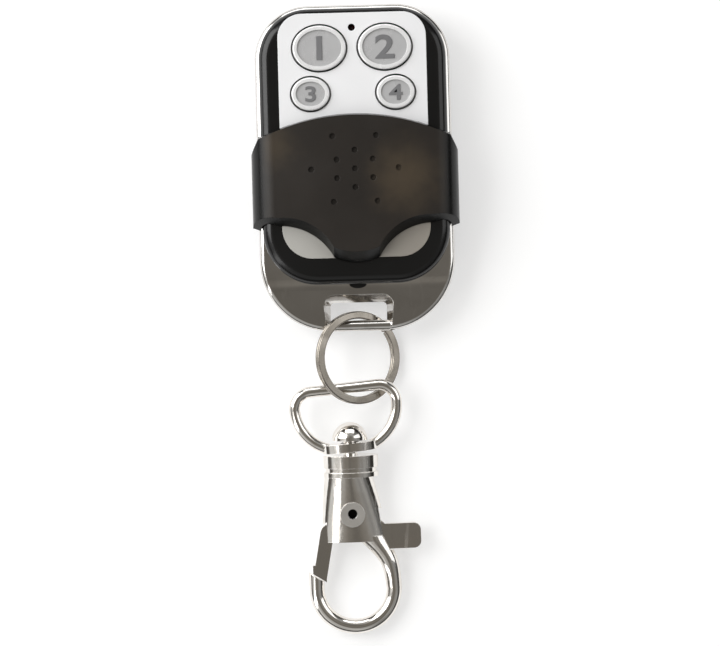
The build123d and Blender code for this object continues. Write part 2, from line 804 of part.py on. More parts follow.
def make_hook_body():
    """Neck, hollow body and hook of the clasp in one casting."""
    neck = extrude(cross_section(neck_start, neck_width, neck_depth), neck_length)
    groove_at = neck_start + neck_groove_at
    groove = extrude(cross_section(groove_at, 2 * neck_width, 2 * neck_depth), neck_groove_width)
    groove_floor = cross_section(groove_at, neck_width - 2 * neck_groove, neck_depth - 2 * neck_groove)
    groove -= extrude(groove_floor, neck_groove_width)
    shoulder = neck_start + neck_length
    sections = [
        Pos(body_shoulder_shift, 0, 0) * cross_section(shoulder, body_shoulder_width, body_shoulder_depth),
        cross_section(rivet_distance, body_rivet_width, body_rivet_depth),
        Pos(body_end_shift, 0, 0) * cross_section(body_end, body_end_width, body_end_depth),
    ]
    body = neck - groove + loft(sections)
    arm = [Pos(x, 0, 0) * cross_section(y, width, depth) for y, x, width, depth in arm_sections]
    arm.append(Pos(hook_radius, 0, 0) * cross_section(hook_centre_distance, hook_wire, hook_wire))
    body += loft(arm)
    low = -hook_centre_distance
    bend = ThreePointArc((hook_radius, low), (0, low - hook_radius), (-hook_radius, low))
    start = Plane(origin=bend @ 0, z_dir=bend % 0)
    body += sweep(start * Circle(hook_wire / 2), bend)
    room = lever_thickness / 2 + lever_gap
    for step in range(pocket_steps + 1):
        pocket = lever_outline(lever_side_gap, lever_open_angle * step / pocket_steps)
        body -= extrude(pocket, room, both=True)
    body += make_hook_tip()
    pivot = Pos(0, -rivet_distance, 0)
    body -= pivot * Cylinder(rivet_shank / 2 + rivet_gap, 2 * neck_depth)
    for side in (-1, 1):
        seat = Cylinder(rivet_head_diameter / 2 + rivet_gap, body_rivet_depth)
        body -= pivot * Pos(0, 0, side * body_rivet_depth) * seat
    socket = Cylinder(post_diameter / 2 + seat_gap, neck_length + 2 * seat_gap)
    body -= Pos(0, -neck_start, 0) * Rot(90, 0, 0) * socket
    return clasp_place() * body


def make_hook_tip():
    """The upper end of the hook, cut slanting where the gate meets it."""
    length = hook_centre_distance - gate_end[1] + hook_wire
    middle = Pos(-hook_radius, -hook_centre_distance + length / 2, 0)
    return middle * Rot(90, 0, 0) * Cylinder(hook_wire / 2, length) - gate_side(gate_gap / 2)


def gate_side(shift):
    """Everything on the gate's side of the slanted joint between the gate and the hook's tip."""
    size = 3 * hook_radius
    return (
        Pos(gate_end[0], -gate_end[1], 0) * Rot(0, 0, gate_face_angle)
        * Pos(0, size / 2 - shift, 0) * Box(size, size, size)
    )


def lever_outline(grow, turn):
    """Flat outline of the lever, grown by a clearance and turned about the rivet."""
    hub = Pos(0, -rivet_distance) * Circle(lever_hub_radius + grow)
    tall = tab_height / 2 + grow
    pivot = (0, -rivet_distance)
    knee = (tab_start, -tab_distance)
    thumb = RectangleRounded(tab_end - tab_start + tab_height / 2 + 2 * grow, 2 * tall, tab_corner + grow)
    tab = strip(pivot, knee, tall) + Pos(*knee) * Circle(tall)
    tab += Pos((tab_start - tab_height / 2 + tab_end) / 2, -tab_distance) * thumb
    half = gate_width / 2 + grow
    elbow = (gate_elbow[0], -gate_elbow[1])
    end = (gate_end[0], -gate_end[1])
    gate = strip(pivot, elbow, half)
    gate += Pos(*elbow) * Circle(half)
    gate += strip(elbow, end, half)
    gate += strip((end[0], end[1] + gate_width), (end[0], end[1] - gate_width / 2), half)
    flat = hub + tab + gate
    return Pos(*pivot) * Rot(0, 0, turn) * Pos(-pivot[0], -pivot[1]) * flat


def strip(start, end, half):
    """A straight flat strip from one point to another."""
    dx, dy = end[0] - start[0], end[1] - start[1]
    middle = Pos((start[0] + end[0]) / 2, (start[1] + end[1]) / 2)
    return middle * Rot(0, 0, degrees(atan2(dy, dx))) * Rectangle(sqrt(dx**2 + dy**2), 2 * half)


def make_lever():
    """Thumb tab and gate in one piece, with the hole for the rivet and a recess for the spring."""
    lever = extrude(lever_outline(0, 0), lever_thickness / 2, both=True)
    gate_part = block(
        -2 * hook_radius, 0, -2 * hook_centre_distance, -gate_elbow[1] - gate_width,
        -lever_thickness, lever_thickness,
    )
    lever -= gate_part - gate_side(-gate_gap / 2)
    pivot = Pos(0, -rivet_distance, 0)
    lever -= pivot * Cylinder(rivet_shank / 2 + rivet_gap, 2 * lever_thickness)
    recess = spring_height + spring_recess_gap
    spring_room = Cylinder(spring_radius + spring_recess_gap, recess)
    lever -= pivot * Pos(0, 0, lever_thickness / 2 - recess / 2) * spring_room
    return clasp_place() * lever


def make_lever_spring():
    """The torsion spring, a closed ring round the rivet inside the body."""
    low = lever_thickness / 2 - spring_height
    ring = Cylinder(spring_radius, spring_height) - Cylinder(rivet_shank / 2 + rivet_gap, spring_height)
    return clasp_place() * Pos(0, -rivet_distance, low + spring_height / 2) * ring


def make_rivet():
    """The rivet through body and lever, with a blind bore in its front end."""
    depth = body_rivet_depth
    rivet = Cylinder(rivet_shank / 2, depth)
    for side in (-1, 1):
        place = Pos(0, 0, side * (depth / 2 + rivet_head_height / 2))
        rivet += place * Cylinder(rivet_head_diameter / 2, rivet_head_height)
    front = depth / 2 + rivet_head_height
    rivet -= Pos(0, 0, front) * Cylinder(rivet_bore / 2, 2 * rivet_bore_depth)
    return clasp_place() * Pos(0, -rivet_distance, 0) * rivet


nodes["metal_frame"] = make_metal_frame()
nodes["back_shell"] = make_back_shell()
nodes["front_shell"] = make_front_shell()
nodes["face_plate"] = make_face_plate()
nodes["slide_cover"] = make_slide_cover()
nodes["circuit_board"] = make_board()
for number, (x, y, size) in enumerate(key_places, start=1):
    nodes[f"key_{number}"] = make_key(x, y, size)
    switch = on_board((switch_size, switch_size, switch_height), (x, y))
    hole = plunger_diameter + 2 * plunger_gap
    switch -= rod(x, y, board_top + switch_height / 2, z_face, hole)
    nodes[f"switch_body_{number}"] = switch
    plunger_low = board_top + switch_height / 2 + key_travel + plunger_gap
    nodes[f"plunger_{number}"] = rod(x, y, plunger_low, key_underside, plunger_diameter)
nodes["encoder_chip"] = make_chip()
nodes["rf_resonator"] = on_board(resonator_size, resonator_place)
nodes["transistor"] = on_board(transistor_size, transistor_place)
nodes["chip_parts"] = make_small_parts()
nodes["antenna_loop"] = make_antenna()
lamp_low = board_top + seat_gap
lamp = rod(0, lamp_y, lamp_low, lamp_low + lamp_height - lamp_diameter / 2, lamp_diameter)
nodes["led"] = lamp + Pos(0, lamp_y, lamp_low + lamp_height - lamp_diameter / 2) * Sphere(lamp_diameter / 2)
nodes["battery"] = make_battery()
nodes["positive_plate"] = make_contact(1, 0)
nodes["negative_leaf"] = make_contact(-1, leaf_bow)
nodes["case_screws"] = make_screws()
nodes["split_ring"] = make_split_ring()
nodes["d_ring"] = make_d_ring()
nodes["swivel_post"] = make_swivel_post()
nodes["hook_body"] = make_hook_body()
nodes["trigger_lever"] = make_lever()
nodes["lever_spring"] = make_lever_spring()
nodes["lever_rivet"] = make_rivet()

os.makedirs("parts", exist_ok=True)
for name, shape in nodes.items():
    export_step(shape, f"parts/{name}.step")
    box = shape.bounding_box()
    heights = f"z {box.min.Z:.2f} to {box.max.Z:.2f}"
    print(f"{name}: {len(shape.solids())} solids, {shape.volume:.1f} mm3, {heights}")
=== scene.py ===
# %% [markdown]
# A gate remote control on its key chain.
#
# The solids of the remote are already made, at their real size. This script gives them their looks:
# it loads them as a fixed frame, lights them like a product photograph, gives every piece a material
# made of shader nodes, and adds the fine pieces that are easier to make as meshes than as solids.

# %% Load the fixed frame
from math import radians

import bpy
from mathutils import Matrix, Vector


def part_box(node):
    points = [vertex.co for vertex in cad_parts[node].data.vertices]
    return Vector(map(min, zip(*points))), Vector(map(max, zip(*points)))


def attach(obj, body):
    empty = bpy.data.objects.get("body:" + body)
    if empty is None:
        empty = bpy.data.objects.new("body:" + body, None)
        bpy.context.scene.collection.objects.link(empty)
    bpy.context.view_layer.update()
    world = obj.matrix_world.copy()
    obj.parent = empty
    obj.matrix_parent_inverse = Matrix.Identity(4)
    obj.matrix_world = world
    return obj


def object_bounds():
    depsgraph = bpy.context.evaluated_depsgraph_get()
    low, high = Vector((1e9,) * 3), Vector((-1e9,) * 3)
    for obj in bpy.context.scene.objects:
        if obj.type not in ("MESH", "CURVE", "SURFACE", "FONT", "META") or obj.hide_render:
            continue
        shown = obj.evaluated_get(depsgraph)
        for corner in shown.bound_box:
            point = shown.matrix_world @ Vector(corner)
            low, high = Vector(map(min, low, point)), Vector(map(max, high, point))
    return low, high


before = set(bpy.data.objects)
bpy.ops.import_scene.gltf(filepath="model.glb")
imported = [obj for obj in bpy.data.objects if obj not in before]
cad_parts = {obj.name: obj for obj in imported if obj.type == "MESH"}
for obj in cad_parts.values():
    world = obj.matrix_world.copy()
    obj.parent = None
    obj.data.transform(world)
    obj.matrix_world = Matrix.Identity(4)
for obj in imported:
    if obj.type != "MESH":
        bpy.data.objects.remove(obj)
cad_low, cad_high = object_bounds()
mm = 0.001

# %% [markdown]
# The camera looks straight down at the remote, which lies on its back. A long lens far away keeps the
# sides of the case out of sight, as in the photograph. The photograph is 132.5 mm wide at the height
# of the face, so the lens follows from that width and the distance. The remote lies a little askew in
# the picture. The camera is rolled for that, so the remote stays straight in its own frame.

# %% Camera
sensor = 36.0
view_width = 132.5 * mm
view_middle = Vector((0.17 * mm, -28.6 * mm, 8.0 * mm))
camera_distance = 0.67
camera_roll = radians(-1.5)
nearest_seen = 10 * mm

camera_data = bpy.data.cameras.new("camera")
camera_data.sensor_width = sensor
camera_data.lens = sensor * camera_distance / view_width
camera_data.clip_start = nearest_seen
camera = bpy.data.objects.new("camera", camera_data)
camera.location = view_middle + Vector((0, 0, camera_distance))
camera.rotation_euler.z = camera_roll
bpy.context.scene.collection.objects.link(camera)
bpy.context.scene.camera = camera
bpy.context.scene.view_settings.view_transform = "Standard"
print("lens", round(camera_data.lens), "mm")

# %% [markdown]
# Chrome shows the room more than it shows itself, so the room is built with care. A flat face of the
# chain mirrors what is straight above it: a dim warm grey, a little cloudy, as a ceiling is. A wire
# mirrors a whole slice of the room across its width. The brighter belt half way up gives it a light
# core, and the dark band above the horizon gives it the dark flanks that make metal read as metal. The
# room is brighter on its left, as if a window were there, so wires are lighter on their left side. A picture
# of a real studio would do the same work, but here every level is a number that can be changed.

# %% World
sky_levels = (
    (0.00, (0.05, 0.047, 0.043)),
    (0.30, (0.07, 0.065, 0.06)),
    (0.52, (0.44, 0.44, 0.43)),
    (0.82, (0.42, 0.415, 0.40)),
    (0.95, (0.205, 0.19, 0.168)),
)
cloud_fineness = 2.6
cloud_detail = 1.5
cloud_depth = 0.42
cloud_low, cloud_high = 0.3, 0.7
window_side = 1.30
far_side = 0.50
side_reach = 0.8


def set_range(node, from_low, from_high, to_low, to_high):
    """Fills in the four numbers of a Map Range node."""
    labels = ("From Min", "From Max", "To Min", "To Max")
    for label, number in zip(labels, (from_low, from_high, to_low, to_high)):
        node.inputs[label].default_value = number


world = bpy.data.worlds.new("studio")
bpy.context.scene.world = world
world.use_nodes = True
sky = world.node_tree
direction = sky.nodes.new("ShaderNodeTexCoord").outputs["Generated"]
split = sky.nodes.new("ShaderNodeSeparateXYZ")
ramp = sky.nodes.new("ShaderNodeValToRGB")
ramp.color_ramp.interpolation = "EASE"
while len(ramp.color_ramp.elements) < len(sky_levels):
    ramp.color_ramp.elements.new(0.5)
for element, (level, colour) in zip(ramp.color_ramp.elements, sky_levels):
    element.position = level
    element.color = (*colour, 1)
clouds = sky.nodes.new("ShaderNodeTexNoise")
clouds.inputs["Scale"].default_value = cloud_fineness
clouds.inputs["Detail"].default_value = cloud_detail
strength = sky.nodes.new("ShaderNodeMapRange")
set_range(strength, cloud_low, cloud_high, 1 - cloud_depth, 1 + cloud_depth)
across = sky.nodes.new("ShaderNodeMapRange")
set_range(across, -side_reach, side_reach, window_side, far_side)
together = sky.nodes.new("ShaderNodeMath")
together.operation = "MULTIPLY"
sky.links.new(direction, split.inputs["Vector"])
sky.links.new(direction, clouds.inputs["Vector"])
sky.links.new(split.outputs["Z"], ramp.inputs["Fac"])
sky.links.new(clouds.outputs["Fac"], strength.inputs["Value"])
sky.links.new(ramp.outputs["Color"], sky.nodes["Background"].inputs["Color"])
sky.links.new(split.outputs["X"], across.inputs["Value"])
sky.links.new(strength.outputs["Result"], together.inputs[0])
sky.links.new(across.outputs["Result"], together.inputs[1])
sky.links.new(together.outputs[0], sky.nodes["Background"].inputs["Strength"])
print("sky levels:", len(sky_levels))

# %% [markdown]
# Three large lamps stand to the sides and beyond the top. Seen from above, only slanted faces mirror them
# there, so they light the plastic without bleaching the flat metal. One lamp straight above would do that.
# A large lamp also gives a soft shadow. A narrow fourth one at the lower left adds to the white lines down
# the left side of the clasp.

# %% Lamps


def soft_lamp(name, place, size, power, aim=(0, -0.03, 0)):
    """A rectangular lamp at one point, turned towards another."""
    data = bpy.data.lights.new(name, "AREA")
    data.shape = "RECTANGLE"
    data.size, data.size_y = size
    data.energy = power
    lamp = bpy.data.objects.new(name, data)
    lamp.location = place
    lamp.rotation_mode = "QUATERNION"
    lamp.rotation_quaternion = (Vector(aim) - Vector(place)).to_track_quat("-Z", "Y")
    bpy.context.scene.collection.objects.link(lamp)
    print("lamp", name, power, "W")


soft_lamp("key_lamp", (-0.55, 0.22, 0.42), (0.55, 0.7), 4.7)
soft_lamp("fill_lamp", (0.60, 0.15, 0.50), (0.45, 0.6), 1.1)
soft_lamp("top_lamp", (0.0, 0.75, 0.45), (0.8, 0.4), 2.35)
soft_lamp("strip_lamp", (-0.62, -0.42, 0.50), (0.16, 0.8), 1.1)

# %% [markdown]
# The floor is one large sheet under the remote. To the camera and in mirrors it is nearly white by
# itself, so no extra light has to fall on the object, and it still takes the object's soft shadow.

# %% Floor
floor_half = 3.0
floor_drop = 0.05 * mm
floor_glow = 0.5
floor_paper = (0.6, 0.6, 0.6)

corners = ((-1, -1), (1, -1), (1, 1), (-1, 1))
floor_z = cad_low.z - floor_drop
floor_mesh = bpy.data.meshes.new("floor")
floor_mesh.from_pydata([(x * floor_half, y * floor_half, floor_z) for x, y in corners], [], [(0, 1, 2, 3)])
floor = bpy.data.objects.new("floor", floor_mesh)
bpy.context.scene.collection.objects.link(floor)

paper = bpy.data.materials.new("paper_floor")
paper.use_nodes = True
tree = paper.node_tree
shader = tree.nodes["Principled BSDF"]
shader.inputs["Base Color"].default_value = (*floor_paper, 1)
shader.inputs["Roughness"].default_value = 0.9
shader.inputs["Emission Color"].default_value = (1, 1, 1, 1)
rays = tree.nodes.new("ShaderNodeLightPath")
seen = rays.outputs["Is Camera Ray"]
for kind in ("Is Glossy Ray", "Is Transmission Ray"):
    either = tree.nodes.new("ShaderNodeMath")
    either.operation = "MAXIMUM"
    tree.links.new(seen, either.inputs[0])
    tree.links.new(rays.outputs[kind], either.inputs[1])
    seen = either.outputs[0]
glow = tree.nodes.new("ShaderNodeMath")
glow.operation = "MULTIPLY"
glow.inputs[1].default_value = floor_glow
tree.links.new(seen, glow.inputs[0])
tree.links.new(glow.outputs[0], shader.inputs["Emission Strength"])
floor_mesh.materials.append(paper)
print("floor at", round(floor_z / mm, 2), "mm")

# %% [markdown]
# A material in Blender is a small graph of nodes. The same few steps come back in every graph here:
# a sum of two values, a mix of two colours, a bump from a height. They get short helpers, and so does
# the making of a node group, which is a graph with named sockets that can be placed in many materials.

# %% Helpers for shader nodes
FLOAT, VECTOR = "NodeSocketFloat", "NodeSocketVector"


def new_group(name, inputs, outputs):
    """A shader node group with the given sockets, and its input and output nodes."""
    group = bpy.data.node_groups.new(name, "ShaderNodeTree")
    for label, value in inputs:
        kind = VECTOR if isinstance(value, tuple) else FLOAT
        group.interface.new_socket(name=label, in_out="INPUT", socket_type=kind).default_value = value
    for label in outputs:
        group.interface.new_socket(name=label, in_out="OUTPUT", socket_type=FLOAT)
    return group, group.nodes.new("NodeGroupInput"), group.nodes.new("NodeGroupOutput")


def feed(tree, value, socket):
    """Sets a socket to a number or colour, or links another socket to it."""
    if isinstance(value, bpy.types.NodeSocket):
        tree.links.new(value, socket)
    else:
        socket.default_value = value


def math_node(tree, operation, first, second):
    """A Math node on two sockets or numbers. Returns its output socket."""
    node = tree.nodes.new("ShaderNodeMath")
    node.operation = operation
    feed(tree, first, node.inputs[0])
    feed(tree, second, node.inputs[1])
    return node.outputs[0]


def mix_colours(tree, factor, first, second):
    """A colour Mix node on sockets or colours of three numbers. Returns its output socket."""
    node = tree.nodes.new("ShaderNodeMix")
    node.data_type = "RGBA"
    for label, value in (("Factor", factor), ("A", first), ("B", second)):
        feed(tree, (*value, 1) if isinstance(value, tuple) else value, node.inputs[label])
    return node.outputs["Result"]


def mapped(tree, value, low, high, to_low=0.0, to_high=1.0):
    """A smooth step from one number to another, as a value goes from low to high."""
    node = tree.nodes.new("ShaderNodeMapRange")
    node.interpolation_type = "SMOOTHSTEP"
    labels = ("Value", "From Min", "From Max", "To Min", "To Max")
    for label, number in zip(labels, (value, low, high, to_low, to_high)):
        feed(tree, number, node.inputs[label])
    return node.outputs["Result"]


def noise(tree, fineness, detail=2.0, distortion=0.0, place=None):
    """Noise in the piece's own coordinates, in metres: a fineness of 1000 gives grains of 1 mm."""
    node = tree.nodes.new("ShaderNodeTexNoise")
    node.inputs["Detail"].default_value = detail
    node.inputs["Distortion"].default_value = distortion
    feed(tree, fineness, node.inputs["Scale"])
    own_place = place or tree.nodes.new("ShaderNodeTexCoord").outputs["Object"]
    tree.links.new(own_place, node.inputs["Vector"])
    return node.outputs["Fac"]


def bump(tree, height, depth, normal=None):
    """A Bump node whose height of 1 stands for the given depth in metres. Returns its normal."""
    node = tree.nodes.new("ShaderNodeBump")
    node.inputs["Distance"].default_value = depth
    tree.links.new(height, node.inputs["Height"])
    if normal is not None:
        tree.links.new(normal, node.inputs["Normal"])
    return node.outputs["Normal"]


def place_group(tree, group, **values):
    """Puts a node group in a material and sets its inputs; underscores stand for spaces."""
    node = tree.nodes.new("ShaderNodeGroup")
    node.node_tree = group
    for label, value in values.items():
        feed(tree, value, node.inputs[label.replace("_", " ")])
    return node.outputs


# %% [markdown]
# Real surfaces are never quite even. A mould for plastic is etched with a fine grain, so that the part
# doesn't show every scratch. The grain both bends the light and blurs it, so one noise gives the group
# its height and its roughness.

# %% Group: moulded grain
grain_group, given, result = new_group(
    "moulded_grain",
    [("Fineness", 6000.0), ("Gloss", 0.4), ("Gloss Change", 0.1)],
    ["Height", "Roughness"],
)
fine = noise(grain_group, given.outputs["Fineness"], detail=3.0)
centred = math_node(grain_group, "SUBTRACT", fine, 0.5)
change = math_node(grain_group, "MULTIPLY", centred, given.outputs["Gloss Change"])
total = math_node(grain_group, "ADD", given.outputs["Gloss"], change)
grain_group.links.new(fine, result.inputs["Height"])
grain_group.links.new(total, result.inputs["Roughness"])
print("group", grain_group.name)

# %% [markdown]
# Hands leave soft patches of skin oil on whatever they carry, and these change the gloss, not the
# colour. A distorted noise with its lower half cut away gives such patches, with clean metal or plastic
# between them.

# %% Group: finger marks
oil_from, oil_full = 0.45, 0.70

handling_group, given, result = new_group(
    "finger_marks",
    [("Fineness", 120.0), ("Amount", 0.12)],
    ["Roughness", "Mask"],
)
patches = noise(handling_group, given.outputs["Fineness"], detail=4.0, distortion=0.6)
mask = mapped(handling_group, patches, oil_from, oil_full)
added = math_node(handling_group, "MULTIPLY", mask, given.outputs["Amount"])
handling_group.links.new(added, result.inputs["Roughness"])
handling_group.links.new(mask, result.inputs["Mask"])
print("group", handling_group.name)

# %% [markdown]
# A key chain rubs on keys and coins, so its plating carries hairlines. They could be painted in a picture,
# but a picture repeats and has to be wrapped round each piece. Here each direction of hairlines is a noise
# pulled out to long thin bands, of which only the crests are kept.

# %% Group: hairline scratches
hairline_turns = ((0.35, 0.02), (-0.9, 0.03), (1.4, 0.025))
crest_from, crest_full = 0.66, 0.74

scratch_group, given, result = new_group(
    "hairlines",
    [("Fineness", 900.0), ("Amount", 0.3)],
    ["Height", "Mask"],
)
own_place = scratch_group.nodes.new("ShaderNodeTexCoord").outputs["Object"]
lines = 0.0
for turn, squeeze in hairline_turns:
    turned = scratch_group.nodes.new("ShaderNodeMapping")
    turned.inputs["Rotation"].default_value = (0, 0, turn)
    turned.inputs["Scale"].default_value = (1, squeeze, 1)
    scratch_group.links.new(own_place, turned.inputs["Vector"])
    bands = noise(scratch_group, given.outputs["Fineness"], place=turned.outputs["Vector"])
    crests = mapped(scratch_group, bands, crest_from, crest_full)
    lines = math_node(scratch_group, "MAXIMUM", lines, crests)
mask = math_node(scratch_group, "MULTIPLY", lines, given.outputs["Amount"])
scratch_group.links.new(mask, result.inputs["Mask"])
scratch_group.links.new(math_node(scratch_group, "MULTIPLY", mask, -1.0), result.inputs["Height"])
print("group", scratch_group.name)

# %% [markdown]
# Corners wear first. The Bevel node gives a normal that turns smoothly round a corner, so the angle
# between it and the true normal is a measure of how near a corner is. This group makes a mask of that,
# broken up by noise, because no edge wears evenly. The Bevel node stays in the material, and its normal
# also rounds the corner itself for the light.

# %% Group: worn edges
wear_from, wear_full = 0.38, 0.62

wear_group, given, result = new_group(
    "worn_edges",
    [("Bevel Normal", (0.0, 0.0, 1.0)), ("Start", 0.02), ("End", 0.25), ("Patch Fineness", 900.0)],
    ["Mask"],
)
true_normal = wear_group.nodes.new("ShaderNodeNewGeometry").outputs["Normal"]
facing = wear_group.nodes.new("ShaderNodeVectorMath")
facing.operation = "DOT_PRODUCT"
wear_group.links.new(given.outputs["Bevel Normal"], facing.inputs[0])
wear_group.links.new(true_normal, facing.inputs[1])
turned_away = math_node(wear_group, "SUBTRACT", 1.0, facing.outputs["Value"])
corner = mapped(wear_group, turned_away, given.outputs["Start"], given.outputs["End"])
patches = noise(wear_group, given.outputs["Patch Fineness"], detail=3.0)
broken = mapped(wear_group, patches, wear_from, wear_full)
wear_group.links.new(math_node(wear_group, "MULTIPLY", corner, broken), result.inputs["Mask"])
print("group", wear_group.name)

# %% [markdown]
# Two more masks say where a place is on its piece. One is for a height, such as the raised rim of a key
# against its dish, which is painted lighter as a highlight. The other is for the way a face looks: the top
# of the cover is etched and greyer, while its walls are polished and painted black as shade. Both read the
# piece's own coordinates, so they stay in place when the piece moves.

# %% Groups: height and facing
height_group, given, result = new_group("height_mask", [("Low", 0.0), ("High", 0.001)], ["Mask"])
own_place = height_group.nodes.new("ShaderNodeTexCoord").outputs["Object"]
parts = height_group.nodes.new("ShaderNodeSeparateXYZ")
height_group.links.new(own_place, parts.inputs["Vector"])
mask = mapped(height_group, parts.outputs["Z"], given.outputs["Low"], given.outputs["High"])
height_group.links.new(mask, result.inputs["Mask"])

facing_group, given, result = new_group("upward_mask", [("From", 0.8), ("To", 0.97)], ["Mask"])
own_normal = facing_group.nodes.new("ShaderNodeTexCoord").outputs["Normal"]
parts = facing_group.nodes.new("ShaderNodeSeparateXYZ")
facing_group.links.new(own_normal, parts.inputs["Vector"])
mask = mapped(facing_group, parts.outputs["Z"], given.outputs["From"], given.outputs["To"])
facing_group.links.new(mask, result.inputs["Mask"])
print("groups", height_group.name, "and", facing_group.name)

# %% [markdown]
# This group marks a round spot on a piece. On the top of the cover it places two painted brown reflections.
# A spot is a distance from a point, with noise added so that its edge is uneven. The same group, with a
# small radius, finds the bore of the rivet, whose inside is painted dark as shade.

# %% Group: spot
ragged_fineness = 260.0

spot_group, given, result = new_group(
    "spot_mask",
    [("Centre", (0.0, 0.0, 0.0)), ("Inside", 0.002), ("Outside", 0.006), ("Unevenness", 0.0)],
    ["Mask"],
)
own_place = spot_group.nodes.new("ShaderNodeTexCoord").outputs["Object"]
level = spot_group.nodes.new("ShaderNodeVectorMath")
level.operation = "MULTIPLY"
level.inputs[1].default_value = (1, 1, 0)
spot_group.links.new(own_place, level.inputs[0])
away = spot_group.nodes.new("ShaderNodeVectorMath")
away.operation = "DISTANCE"
spot_group.links.new(level.outputs["Vector"], away.inputs[0])
spot_group.links.new(given.outputs["Centre"], away.inputs[1])
ragged = math_node(spot_group, "SUBTRACT", noise(spot_group, ragged_fineness), 0.5)
shift = math_node(spot_group, "MULTIPLY", ragged, given.outputs["Unevenness"])
distance = math_node(spot_group, "ADD", away.outputs["Value"], shift)
mask = mapped(spot_group, distance, given.outputs["Outside"], given.outputs["Inside"])
spot_group.links.new(mask, result.inputs["Mask"])
print("group", spot_group.name)

# %% [markdown]
# All metal here is made by one function. A mirror finish shows the shape of what lies under it, which is
# never quite flat, so the mirrored room bends in slow waves. On top of those lie finger marks and hairlines.
# A material for each metal could be built by hand, but chrome, nickel and plain steel differ only in their
# numbers, so one function with good numbers keeps them alike where they should be.

# %% Metal
eased_edge = 0.12 * mm
hairline_depth = 0.002 * mm
hairline_dulling = 0.3
bevel_samples = 6


def new_material(name):
    """An empty material. Returns it with its tree and its Principled shader."""
    material = bpy.data.materials.new(name)
    material.use_nodes = True
    return material, material.node_tree, material.node_tree.nodes["Principled BSDF"]


def eased_normal(tree, radius=eased_edge):
    """A normal that turns smoothly round the sharp edges of a piece."""
    node = tree.nodes.new("ShaderNodeBevel")
    node.samples = bevel_samples
    node.inputs["Radius"].default_value = radius
    return node.outputs["Normal"]


def plated_metal(name, colour, tint, roughness=0.10, marks=0.08, mark_fineness=150.0,
                 scratches=0.25, line_fineness=900.0, wave=0.05 * mm, wave_fineness=70.0):
    """Plated or polished metal with slow waves, finger marks and hairlines."""
    material, tree, shader = new_material(name)
    shader.inputs["Metallic"].default_value = 1.0
    marked = place_group(tree, handling_group, Fineness=mark_fineness, Amount=marks)
    lines = place_group(tree, scratch_group, Fineness=line_fineness, Amount=scratches)
    tree.links.new(mix_colours(tree, marked["Mask"], colour, tint), shader.inputs["Base Color"])
    dulled = math_node(tree, "MULTIPLY", lines["Mask"], hairline_dulling)
    rough = math_node(tree, "ADD", math_node(tree, "ADD", marked["Roughness"], dulled), roughness)
    tree.links.new(rough, shader.inputs["Roughness"])
    normal = bump(tree, noise(tree, wave_fineness, detail=1.0), wave, eased_normal(tree))
    tree.links.new(bump(tree, lines["Height"], hairline_depth, normal), shader.inputs["Normal"])
    return material


chrome = plated_metal("frame_chrome", (0.735, 0.72, 0.70), (0.63, 0.61, 0.585), roughness=0.07,
                      wave=0.20 * mm)
nickel = plated_metal("clasp_nickel", (0.86, 0.83, 0.79), (0.76, 0.72, 0.67), scratches=0.4)
ring_steel = plated_metal("ring_steel", (0.36, 0.33, 0.29), (0.27, 0.245, 0.21), roughness=0.16)
contact_steel = plated_metal("contact_steel", (0.7, 0.7, 0.68), (0.62, 0.62, 0.6), roughness=0.3)
dark_screw = plated_metal("screw_steel", (0.35, 0.35, 0.35), (0.28, 0.28, 0.28), roughness=0.32)
can_metal = plated_metal("can_metal", (0.62, 0.62, 0.62), (0.55, 0.55, 0.55), roughness=0.35)
copper = plated_metal("bare_copper", (0.75, 0.38, 0.22), (0.6, 0.3, 0.17), roughness=0.3)
print("metals made")

# %% [markdown]
# The hollow rivet is plain tumbled steel, duller and lighter than the plated clasp round it, and its
# bore is a deep hole, painted dark as shade. The spot group paints this shade inside the bore.

# %% Rivet metal
rivet_low, rivet_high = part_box("lever_rivet")
rivet_x = (rivet_low.x + rivet_high.x) / 2
rivet_y = (rivet_low.y + rivet_high.y) / 2
bore_radius = 0.8 * mm
bore_edge = (1.02, 1.15)
bore_shade = (0.01, 0.009, 0.008)

rivet_metal = plated_metal("rivet_steel", (0.93, 0.91, 0.88), (0.8, 0.78, 0.74), roughness=0.34,
                           wave=0.01 * mm)
tree = rivet_metal.node_tree
shader = tree.nodes["Principled BSDF"]
colour_now = shader.inputs["Base Color"].links[0].from_socket
bore_shade_mask = place_group(tree, spot_group, Centre=(rivet_x, rivet_y, 0.0), Inside=bore_radius * bore_edge[0],
                   Outside=bore_radius * bore_edge[1])["Mask"]
# The inside of the bore is painted near-black as shade.
tree.links.new(mix_colours(tree, bore_shade_mask, colour_now, bore_shade), shader.inputs["Base Color"])
print("rivet at", round(rivet_x / mm, 2), round(rivet_y / mm, 2))

# %% [markdown]
# Moulded plastic is made by one function too. Its colour drifts a little, because pigment is never
# mixed perfectly, its gloss follows the grain of the mould and the fingers, and its edges are a little
# lighter and smoother where they have rubbed.

# %% Plastic
grain_depth = 0.004 * mm
pigment_fineness = 90.0
skin_mark_fineness = 110.0
skin_marks = 0.06
edge_polish = 0.1
worn_lift = 1.5


